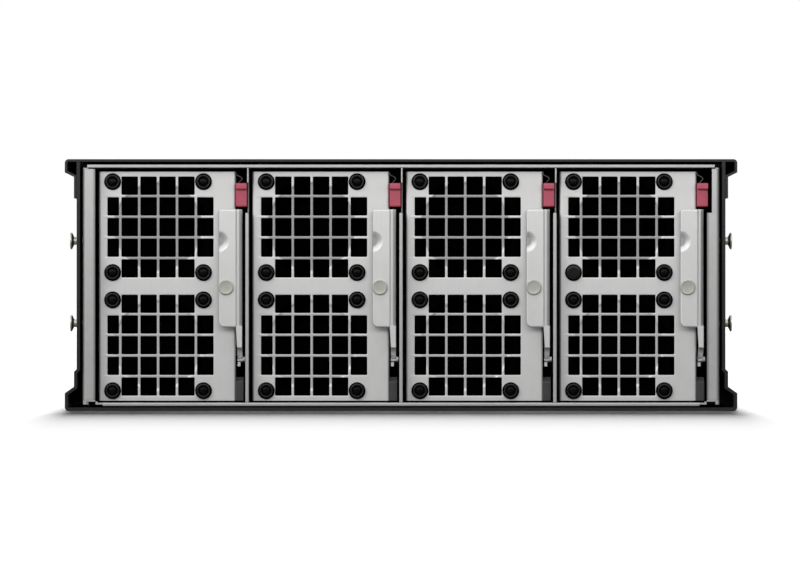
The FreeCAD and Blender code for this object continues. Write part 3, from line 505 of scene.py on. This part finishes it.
def mesh_points(piece):
    """Points of a piece's mesh, as rows of X, Y and Z."""
    place = np.empty(len(piece.data.vertices) * 3)
    piece.data.vertices.foreach_get("co", place)
    return place.reshape(-1, 3)


def mark(piece, name, level):
    """Stores a level at each point of a piece, which its finish reads by that name."""
    piece.data.attributes.new(name, "FLOAT", "POINT").data.foreach_set("value", level)


def tray_zinc():
    """The drawers' zinc plate, darkened in the pressed dishes by painted shade, more in the upper dishes than
    in the lower ones.
    """
    material, place, shader = start_finish("tray_zinc", Metallic=0.45)
    spangle = place.noise(6 * mm, 3.0)
    streak = place.stretched(1, 1, 0.05).noise(0.8 * mm)
    # Painted shade in the dishes, read from the points' dish level.
    dish_shade = place.node("Attribute", {"attribute_name": "dish"}, {}, "Fac")
    tone = 0.55 * spangle + 0.45 * streak
    bright = tone.between((0.54, 0.54, 0.535), (0.62, 0.62, 0.615))
    pressed = tone.between((0.27, 0.27, 0.27), (0.33, 0.33, 0.33))
    mixed = place.node("Mix", {"data_type": "RGBA"}, {0: dish_shade, 6: bright, 7: pressed}, 2)
    mixed.feed(shader, "Base Color")
    (0.46 + 0.12 * spangle).feed(shader, "Roughness")
    grain(place, streak, 0.03, 0.05 * mm, shader)
    return material


tray_finish = tray_zinc()
face_points, face_faces, lines_x, lines_z = tray_face()
edge_points, edge_faces = tray_edges(lines_x, lines_z, sum(part.size // 3 for part in face_points))
tray_points, tray_faces = face_points + edge_points, face_faces + edge_faces
first = sum(part.size // 3 for part in tray_points)
plug_low, plug_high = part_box("fan_plug_1")
return_left, return_right = sheet + relief, plate_width - sheet - relief
for low, high in (
    ((return_left, plate_face + sheet, tray_low.z), (return_right, tray_far, tray_low.z + sheet)),
    ((return_left, plate_face + sheet, tray_high.z - sheet), (return_right, tray_far, tray_high.z)),
    ((plug_low.x - tray_low.x - tab_margin, tray_far - sheet, plug_low.z - tab_margin),
     (plate_width - sheet, tray_far, plug_high.z + tab_margin)),
):
    corners, sides = box_points(low, high)
    tray_points.append(corners)
    tray_faces.append(sides + first)
    first += len(corners)

for drawer in drawers:
    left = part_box("fan_tray_" + drawer)[0].x
    tray = shell("tray_" + drawer, tray_points, tray_faces, tray_finish, crease=30)
    place = mesh_points(tray)
    # Painted shade in the dishes: full in the upper ones, less in the lower ones.
    dish_shade_level = np.where(place[:, 2] > fan_levels.mean(), 1.0, lower_dish_shade)
    mark(tray, "dish", dish(place[:, 0], place[:, 2]) * dish_shade_level)
    place[:, 0] += left
    tray.data.vertices.foreach_set("co", place.reshape(-1))
    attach(tray, "drawer_" + drawer)
    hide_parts("fan_tray_" + drawer)

# Fans: two axial fans behind each drawer's face, with frames and impellers moulded in black plastic,
# and the plug that feeds them.

fan_black = moulded("fan_plastic", (0.0006, 0.0006, 0.0006), (0.001, 0.001, 0.001), 0.88, 0.0)
for drawer in drawers:
    for node in ("fan_housings_", "upper_impeller_", "lower_impeller_"):
        paint(node + drawer, fan_black)
    paint("fan_plug_" + drawer, connector_black)

# Push rivets: black nylon rivets through the fans' corner holes. Each has a flat ring round a centre
# pin that has been driven in below it.

rivet_segments = 48
rivet_skirt = np.array([
    (0.5, 0.1), (4.65, 0.1), (4.70, 2.10), (5.05, 1.80), (5.40, 1.30), (5.65, 0.70), (5.75, 0.0),
    (1.9, 0.0), (1.9, -7.2),
]) * mm
rivet_ring = np.array([
    (0.5, 0.3), (3.35, 0.3), (3.45, 1.90), (3.65, 2.20), (3.90, 2.30), (4.35, 2.27), (4.70, 2.10),
    (4.65, 0.2), (0.5, 0.2),
]) * mm
rivet_pin = np.array([
    (0.30, 1.80), (1.20, 1.74), (2.00, 1.56), (2.70, 1.22), (3.15, 0.70), (3.25, 0.35), (0.5, 0.35),
]) * mm
flush_top = np.array([(0.30, 2.30), (3.00, 2.30), (4.35, 2.27), (4.70, 2.10), (4.65, 0.2), (0.5, 0.2)]) * mm
flush_rivet = ("4", 2)      # drawer and place of the one whose pin stands flush
rivet_inset = 4.25 * mm     # from the fan's sides
rivet_offset = fan_half - rivet_inset


def rivet_nylon_finish():
    """Black nylon with a soft sheen and a trace of moulding grain."""
    material, place, shader = start_finish("rivet_nylon", Specular_IOR_Level=0.22)
    cloud = place.noise(2 * mm)
    cloud.between((0.0015, 0.0015, 0.0015), (0.003, 0.003, 0.003)).feed(shader, "Base Color")
    (0.20 + 0.14 * cloud).feed(shader, "Roughness")
    grain(place, place.noise(0.7 * mm), 0.12, 0.1 * mm, shader)
    return material


rivet_nylon = rivet_nylon_finish()
# The pins take a darker, duller copy of the nylon: painted shade in the recess inside the ring.
pin_shaded_nylon = moulded("pin_shaded_nylon", (0.0006, 0.0006, 0.0006), (0.0015, 0.0015, 0.0015), 0.22, 0.07)
for drawer in drawers:
    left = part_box("fan_tray_" + drawer)[0].x
    places = []
    for level in fan_levels[::-1]:
        places += [(left + fan_middle + i * rivet_offset, plate_face, level + j * rivet_offset)
                   for i, j in ((-1, 1), (1, 1), (-1, -1), (1, -1))]
    points, faces = turned_copies(rivet_skirt[:, 0], -rivet_skirt[:, 1], places, rivet_segments, "y")
    rivets = shell("rivets_" + drawer, [points], faces, fan_black, crease=50)
    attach(rivets, "drawer_" + drawer)
    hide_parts("push_rivets_" + drawer)
    if drawer == flush_rivet[0]:
        flush = [places.pop(flush_rivet[1])]
        points, faces = turned_copies(flush_top[:, 0], -flush_top[:, 1], flush, rivet_segments, "y")
        top = shell("flush_rivet", [points], faces, rivet_nylon, crease=50)
        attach(top, "drawer_" + drawer)
    for name, profile, finish in (
        ("rivet_rings_", rivet_ring, rivet_nylon),
        ("rivet_pins_", rivet_pin, pin_shaded_nylon),
    ):
        points, faces = turned_copies(profile[:, 0], -profile[:, 1], places, rivet_segments, "y")
        top = shell(name + drawer, [points], faces, finish, crease=50)
        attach(top, "drawer_" + drawer)

# Release levers: bent from zinc-plated sheet with rounded edges, a thumb dimple and a coined line along
# the bend. Each swings on a zinc-plated pin with a black washer, and has a dished nickel disc riveted to
# its face.

lever_sheet, lever_bend, lever_round = 1.5 * mm, 3.6 * mm, 1.1 * mm
two_step_bend = np.array([      # of the bend's size: across the face, and back
    (0.06, 0.0), (0.36, 0.02), (0.44, 0.06), (0.50, 0.12), (0.86, 0.50), (0.94, 0.60), (0.985, 0.72),
    (1.0, 0.88), (1.0, 1.0),
])
lever_corners = (4.0 * mm, 2.0 * mm)          # at the foot and the top of the left edge
lever_foot_level, arm_knee_level = 56.4 * mm, 42.9 * mm
coin_width, coin_depth = 0.9 * mm, 0.8 * mm
thumb_radius, thumb_floor, thumb_depth, thumb_drop = 7.2 * mm, 3.0 * mm, 2.0 * mm, 21.7 * mm
arm_width, arm_taper, eye_radius = 4.3 * mm, 0.9 * mm, 2.1 * mm
lever_low, lever_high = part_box("lever_1")
flange_inset = 0.5 * mm
lever_edge = lever_high.x - flange_inset
pin_low, pin_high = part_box("pivot_pin_1")
pin_y, pin_z = (pin_low.y + pin_high.y) / 2, (pin_low.z + pin_high.z) / 2
flange_depth = 9.0 * mm
seam_depth, seam_half = 0.5 * mm, math.radians(16)
tail_sheet, tail_reach = 0.8 * mm, 4.9 * mm


def edge_drop(distance):
    """How far a rounded edge falls back: a quarter circle over the first lever_round from the edge."""
    inside = np.clip(lever_round - distance, 0, lever_round)
    return lever_round - np.sqrt(lever_round ** 2 - inside ** 2)


def lever_left_edge(z):
    """Left edge of the lever's face: straight, with a quarter circle at the foot and at the top."""
    foot, top = lever_corners
    rise = np.clip(foot - (z - lever_foot_level), 0, foot)
    fall = np.clip(top - (lever_high.z - z), 0, top)
    return foot - np.sqrt(foot ** 2 - rise ** 2) + top - np.sqrt(top ** 2 - fall ** 2)


def thumb_press(x, z):
    """How far the dimple at the thumb is pressed in: a half disc about a point of the left edge, 0 at its rim
    and 1 on its flat floor, with a smooth step between."""
    away = np.hypot(x, z - (lever_high.z - thumb_drop))
    slope = np.clip((thumb_radius - away) / (thumb_radius - thumb_floor), 0, 1)
    return slope * slope * (3 - 2 * slope)


def lever_face_points():
    """Face of the lever, on a grid drawn together at its edges: rounded at the left, foot and top, pressed to
    a dimple at the thumb, coined along the bend, then turned in two steps to the flange. The back
    follows at the sheet's thickness."""
    steps = np.linspace(0, 1, 49)
    ease = (1 - np.cos(np.pi * np.linspace(0, 1, 9)[:-1] / 2)) * lever_round
    height = lever_high.z - lever_foot_level
    straight = lever_round + (height - 2 * lever_round) * np.linspace(0, 1, 201)
    z = np.concatenate([ease, straight, height - ease[::-1]])
    z = (lever_foot_level + z)[:, None]
    width = lever_edge - lever_low.x
    bend_start = width - lever_bend
    across = np.concatenate([ease, lever_round + (bend_start - lever_round) * steps])
    start = lever_left_edge(z)
    x = start + across[None] / bend_start * (bend_start - start)
    from_end = np.minimum(z - lever_foot_level, lever_high.z - z)
    drop = np.hypot(edge_drop(x - start), edge_drop(from_end)) * np.ones_like(x)
    press = thumb_depth * thumb_press(x, z)
    coin = coin_depth * np.clip(1 - (bend_start - x) / coin_width, 0, 1)
    front_x, front_y = x, drop + press + coin
    turn = np.linspace(0, np.pi / 2, len(two_step_bend))
    bend_x = np.append(bend_start + lever_bend * two_step_bend[:, 0], width)
    bend_y = np.append(lever_bend * two_step_bend[:, 1], flange_depth)
    inner = lever_bend - lever_sheet
    back_x = np.append(bend_start + inner * np.sin(turn), width - lever_sheet)
    back_y = np.append(lever_bend - inner * np.cos(turn), flange_depth)
    rows = np.ones_like(z)
    end = edge_drop(from_end)
    tilt = np.append(np.cos(turn), 0.0)
    front = np.stack([np.concatenate([front_x, rows * bend_x], 1),
                      np.concatenate([front_y, bend_y + end * tilt], 1)], -1)
    back = np.stack([np.concatenate([front_x, rows * back_x], 1),
                     np.concatenate([press + lever_sheet, rows * back_y], 1)], -1)
    sheet_points = np.concatenate([front, back[:, ::-1]], 1)
    x, y = sheet_points[..., 0], sheet_points[..., 1]
    points = np.stack([lever_low.x + x, lever_low.y + y, z * np.ones_like(x)], -1)
    rows, columns = points.shape[:2]
    half = columns // 2
    ends = []
    for row in (0, rows - 1):
        pair = np.stack([np.arange(half), columns - 1 - np.arange(half)]) + row * columns
        ends.append(np.stack([pair[0, :-1], pair[0, 1:], pair[1, 1:], pair[1, :-1]], -1))
    return points, [grid_faces(rows, columns, True)] + ends


def prism_points(corners, low, high):
    """Outline (y, z) carried from one x to another, as two rings with flat ends."""
    corners = np.array(corners)
    rings = np.stack([np.column_stack([np.full(len(corners), x), corners]) for x in (low, high)])
    count = len(corners)
    return rings, [grid_faces(2, count, True), np.arange(count)[None], np.arange(count)[None] + count]


def lever_arm_parts():
    """Arm under the face: a tapering tongue, its strap back to the rolled eye, the flange's web, the eye with
    the seam where it is rolled shut, and the tail under it."""
    right = lever_edge
    top_left, knee_left = right - arm_width, right - arm_width + arm_taper
    face_y, back_y = lever_low.y, lever_low.y + lever_sheet
    soft = 0.3 * mm
    tongue_ends = ((top_left, lever_foot_level + lever_round), (knee_left, arm_knee_level))
    tongue = np.array([[
        (x + soft, face_y, z),
        (right - soft, face_y, z),
        (right, face_y + soft, z),
        (right, back_y, z),
        (x, back_y, z),
        (x, face_y + soft, z),
    ] for x, z in tongue_ends])
    parts = [(tongue, [grid_faces(2, 6, True), np.arange(6)[None], np.arange(6)[None] + 6])]
    roll = eye_radius * math.sqrt(0.5)
    strap = [(face_y, arm_knee_level), (pin_y - roll, pin_z + roll), (pin_y, pin_z),
             (pin_y, pin_z + eye_radius), (back_y, arm_knee_level + lever_sheet)]
    parts.append(prism_points(strap, knee_left, right))
    web = [(face_y + lever_bend, lever_foot_level), (back_y, arm_knee_level), (pin_y - roll, pin_z + roll),
           (pin_y + eye_radius, pin_z), (face_y + flange_depth, lever_foot_level)]
    parts.append(prism_points(web, right - lever_sheet, right))
    angle = np.linspace(0, 2 * np.pi, 40, endpoint=False)
    from_seam = abs((angle - np.pi + seam_half) % (2 * np.pi) - seam_half)
    radius = eye_radius - seam_depth * np.clip(1.6 - from_seam / seam_half, 0, 1)
    rolled = np.stack([pin_y + radius * np.cos(angle), pin_z + radius * np.sin(angle)], -1)
    parts.append(prism_points(rolled, knee_left, right))
    tail = [(pin_y - tail_sheet, pin_z - eye_radius), (pin_y, pin_z - eye_radius),
            (pin_y + tail_sheet, pin_z - tail_reach), (pin_y - 2 * tail_sheet, pin_z - tail_reach)]
    parts.append(prism_points(tail, knee_left, right - lever_sheet))
    return parts


disc_profile = np.array([
    (0.4, 1.02), (1.8, 1.03), (3.0, 1.06), (3.9, 1.12), (4.4, 1.17), (4.7, 1.20), (4.95, 1.12), (5.12, 0.9),
    (5.2, 0.55), (5.2, 0.0), (2.5, 0.0), (2.5, -1.5), (3.6, -1.5), (3.6, -2.9),
]) * mm
washer_profile = np.array([(1.3, 0.1), (2.3, 0.1), (2.3, 1.0), (1.3, 1.0), (1.3, 0.1)]) * mm
pin_head, pin_shank, pin_clip = 2.6 * mm, 1.2 * mm, 2.0 * mm       # radii
pin_wall, clip_inset, clip_edge = 2.6 * mm, 0.4 * mm, 0.1 * mm


def zinc_plate(name, dark, light, dull):
    """Zinc-plated sheet: pale grey metal with a faint spangle and rolling streaks along Z, darkened by
    painted shade where the piece marks points as pressed."""
    material, place, shader = start_finish(name, Metallic=0.45)
    spangle = place.noise(5 * mm, 3.0)
    streak = place.stretched(1, 1, 0.04).noise(0.9 * mm)
    plate = (0.6 * spangle + 0.4 * streak).between(dark, light)
    # Painted shade, laid where the piece's points are marked as pressed.
    pressed = place.node("Attribute", {"attribute_name": "pressed"}, {}, "Fac")
    mixed = place.node("Mix", {"data_type": "RGBA"}, {0: pressed, 6: plate, 7: (0.31, 0.31, 0.31, 1)}, 2)
    mixed.feed(shader, "Base Color")
    (dull + 0.12 * spangle).feed(shader, "Roughness")
    grain(place, streak, 0.04, 0.05 * mm, shader)
    return material


pin_zinc = zinc_plate("pin_zinc", (0.66, 0.66, 0.65), (0.74, 0.74, 0.73), 0.40)
disc_nickel = nickel_plate("disc_nickel", (0.33, 0.33, 0.303), (0.40, 0.40, 0.368))
lever_zinc = zinc_plate("lever_zinc", (0.54, 0.54, 0.535), (0.62, 0.62, 0.615), 0.46)
points, faces = [], []
first = 0
for part_points, part_faces in [lever_face_points()] + lever_arm_parts():
    points.append(part_points)
    faces += [group + first for group in part_faces]
    first += part_points.size // 3
for drawer in drawers:
    shift = np.array([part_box("lever_" + drawer)[0].x - lever_low.x, 0, 0])
    moved = [part + shift for part in points]
    lever = shell("release_lever_" + drawer, moved, faces, lever_zinc)
    place = mesh_points(lever) - shift
    # Painted shade on the floor of the thumb dimple.
    mark(lever, "pressed", thumb_press(place[:, 0] - lever_low.x, place[:, 2]) ** 4)
    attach(lever, "release_lever_" + drawer)
    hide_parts("lever_" + drawer)
    low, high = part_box("lever_stud_" + drawer)
    centre = ((low.x + high.x) / 2, lever_low.y, (low.z + high.z) / 2)
    turned, sides = turned_copies(disc_profile[:, 0], -disc_profile[:, 1], [centre], 64, "y")
    disc = shell("lever_disc_" + drawer, [turned], sides, disc_nickel)
    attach(disc, "release_lever_" + drawer)
    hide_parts("lever_stud_" + drawer)
    pin_start, pin_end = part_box("pivot_pin_" + drawer)
    wall, clip = pin_start.x + pin_wall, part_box("lever_" + drawer)[1].x - clip_inset
    pin_profile = np.array([
        (pin_head, pin_start.x),
        (pin_head, wall - sheet),
        (pin_shank, wall - sheet),
        (pin_shank, clip),
        (pin_clip - clip_edge, clip),
        (pin_clip, clip + clip_edge),
        (pin_clip, pin_end.x - clip_edge),
        (pin_clip - clip_edge, pin_end.x),
    ])
    turned, sides = turned_copies(pin_profile[:, 0], pin_profile[:, 1], [(0, pin_y, pin_z)], 40, "x")
    pin = shell("pin_" + drawer, [turned], sides, pin_zinc)
    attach(pin, "drawer_" + drawer)
    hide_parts("pivot_pin_" + drawer)
    along = wall + washer_profile[:, 1]
    turned, sides = turned_copies(washer_profile[:, 0], along, [(0, pin_y, pin_z)], 40, "x")
    washer = shell("pin_washer_" + drawer, [turned], sides[:1], fan_black)
    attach(washer, "drawer_" + drawer)

# Latches: red moulded catches above the levers, each under a leaf spring that is squeezed as the catch
# is lifted, and a dark moulded block at the foot of the slot.

leaf_sheet, leaf_lift, leaf_clear = 0.4 * mm, 4.0 * mm, 0.15 * mm
foot_set_back, foot_ledge, foot_chamfer = 0.6 * mm, 2.3 * mm, 1.4 * mm
crest_set_back, foot_gap = 3 * mm, 0.3 * mm


def leaf_points(low, high):
    """Leaf spring: a strip whose middle line goes straight down from its anchor, bows out by a smooth step
    of the height and comes half-way back by another. Its sides lie half the sheet to each side of that
    line."""
    down = np.linspace(0, 1, 41)

    def step(start, end):
        part = np.clip((down - start) / (end - start), 0, 1)
        return part * part * (3 - 2 * part)

    bow = step(0.15, 0.6) - 0.5 * step(0.62, 1.0)
    middle = np.stack([low.x + leaf_sheet / 2 + (high.x - low.x - leaf_sheet) * bow,
                       high.z - (high.z - low.z) * down], -1)
    along = np.gradient(middle, axis=0)
    aside = np.stack([-along[:, 1], along[:, 0]], -1) / np.hypot(*along.T)[:, None] * leaf_sheet / 2
    outline = np.concatenate([middle + aside, (middle - aside)[::-1]])
    count = len(outline)
    rings = np.stack([np.insert(outline, 1, y, axis=1) for y in (low.y, high.y)])
    first = np.arange(len(down) - 1)
    cap = np.stack([first, first + 1, count - 2 - first, count - 1 - first], -1)
    return rings, [grid_faces(2, count, True), cap, cap + count]


latch_red = moulded("latch_red", (0.40, 0.058, 0.095), (0.46, 0.072, 0.115), 0.38, 0.5)
block_grey = moulded("block_plastic", (0.030, 0.030, 0.031), (0.042, 0.042, 0.043), 0.45, 0.5)
# The leaf spring's near-black steel is painted shade, standing in for the dark slot above the latch.
spring_steel = zinc_plate("spring_steel", (0.05, 0.05, 0.05), (0.09, 0.09, 0.09), 0.3)
for drawer in drawers:
    dress("latch_" + drawer, latch_red, 0.45 * mm)
    low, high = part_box("foot_block_" + drawer)
    near, ledge = low.y + foot_set_back, high.z - foot_ledge
    base = [(near, low.z), (high.y, low.z), (high.y, ledge), (near + foot_chamfer, ledge),
            (near, ledge - foot_chamfer)]
    crest_near = near + crest_set_back
    crest = [(crest_near, ledge), (high.y, ledge), (high.y, high.z), (crest_near, high.z)]
    points, faces = prism_points(base, low.x, high.x - foot_gap)
    crest_points, crest_faces = prism_points(crest, low.x, high.x - foot_gap)
    faces += [group + points.size // 3 for group in crest_faces]
    foot = shell("slot_foot_" + drawer, [points, crest_points], faces, block_grey)
    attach(foot, "drawer_" + drawer)
    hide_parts("foot_block_" + drawer)
    low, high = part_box("latch_spring_" + drawer)
    points, faces = leaf_points(low, high)
    leaf = shell("leaf_spring_" + drawer, [points], faces, spring_steel)
    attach(leaf, "drawer_" + drawer)
    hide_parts("latch_spring_" + drawer)
    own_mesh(leaf)

# Studio: a white floor that keeps the chassis's shadow, lit from behind by a tall strip of its own, a white
# surround, soft lights over the near face, and a long lens level with its middle.

floor_half = 8.0


def floor_paint():
    """Matt white floor with a trace of unevenness."""
    material, place, shader = start_finish("floor_paint", Roughness=0.9, Specular_IOR_Level=0.0)
    place.noise(0.8).between((0.93, 0.93, 0.93), (0.95, 0.95, 0.95)).feed(shader, "Base Color")
    return material


floor_mesh = bpy.data.meshes.new("floor")
floor_mesh.from_pydata([(x, y, 0) for x, y in ((-floor_half, -floor_half), (floor_half, -floor_half),
                                               (floor_half, floor_half), (-floor_half, floor_half))],
                       [], [(0, 1, 2, 3)])
floor_mesh.materials.append(floor_paint())
floor = bpy.data.objects.new("floor", floor_mesh)
bpy.context.scene.collection.objects.link(floor)
floor.visible_diffuse = False
floor.visible_glossy = False

world = bpy.data.worlds.new("surround")
world.use_nodes = True
bpy.context.scene.world = world
surround = Value(world.node_tree)
background = world.node_tree.nodes["Background"]
seen = surround.node("LightPath", {}, {}, "Is Camera Ray")
mirrored = surround.node("LightPath", {}, {}, "Is Glossy Ray")
passed = surround.node("LightPath", {}, {}, "Is Transmission Ray")
towards = surround.node("TexCoord", {}, {}, "Generated")
rise = surround.node("SeparateXYZ", {}, {0: towards}, "Z")
sideways = surround.node("SeparateXYZ", {}, {0: towards}, "X")
surround_level = 0.55 - 0.25 * sideways + 0.25 * rise
reflected = surround.math("MINIMUM", mirrored + passed, 1.0)
diffuse_share = 0.1
lit = surround_level * (diffuse_share + (1 - diffuse_share) * reflected)
(seen + (1 - seen) * lit).feed(background, "Strength")
background.inputs["Color"].default_value = (1, 1, 1, 1)


def soft_light(name, place, aim, width, height, power):
    """Rectangular lamp at a place, turned to face its aim."""
    lamp = bpy.data.lights.new(name, "AREA")
    lamp.shape = "RECTANGLE"
    lamp.size, lamp.size_y, lamp.energy = width, height, power
    light = bpy.data.objects.new(name, lamp)
    bpy.context.scene.collection.objects.link(light)
    light.location = place
    light.visible_camera = False
    towards = np.array(aim) - np.array(place)
    flat = math.hypot(towards[0], towards[1])
    light.rotation_euler = (math.atan2(flat, -towards[2]), 0, math.atan2(-towards[0], towards[1]))
    return light


def sun_light(name, turn, power, spread):
    """Distant soft lamp, turned from straight down by the angles about X, Y and Z."""
    lamp = bpy.data.lights.new(name, "SUN")
    lamp.energy, lamp.angle = power, math.radians(spread)
    light = bpy.data.objects.new(name, lamp)
    bpy.context.scene.collection.objects.link(light)
    light.rotation_euler = [math.radians(angle) for angle in turn]
    return light


def shine_on(lights, state):
    """Lets the lights fall on the floor alone, or on all but the floor."""
    group = bpy.data.collections.new("floor_" + state.lower())
    group.objects.link(floor)
    group.collection_objects[0].light_linking.link_state = state
    for light in lights:
        light.light_linking.receiver_collection = group


shine_on([soft_light("floor_light", (0, 30.6, 25.7), (0, 0, 0), 3.4, 46, 33000)], "INCLUDE")
shine_on([
    soft_light("upper_front", (0, -0.54, 0.27), (0, -0.2, 0.1), 1.3, 0.16, 2.0),
    soft_light("overhead", (0, -0.5, 1.2), (0, -0.2, 0), 1.2, 0.4, 6.0),
    sun_light("upper_left", (62, 0, -50), 0.75, 25),
    sun_light("far_side", (-55, 0, 0), 1.6, 40),
], "EXCLUDE")

pixel = 0.675 * mm          # of the near face, as the image is framed
image_width = 800
lens_distance = 3.0
lens_aside, lens_height = -0.7 * mm, 83.7 * mm
camera_data = bpy.data.cameras.new("camera")
camera_data.sensor_width = 36
camera_data.lens = camera_data.sensor_width * lens_distance / (image_width * pixel)
camera_data.clip_end = 50
camera = bpy.data.objects.new("camera", camera_data)
bpy.context.scene.collection.objects.link(camera)
camera.location = (lens_aside, cad_bounds[0].y - lens_distance, lens_height)
camera.rotation_euler = (math.pi / 2, 0, 0)
bpy.context.scene.camera = camera
bpy.context.scene.view_settings.view_transform = "Standard"
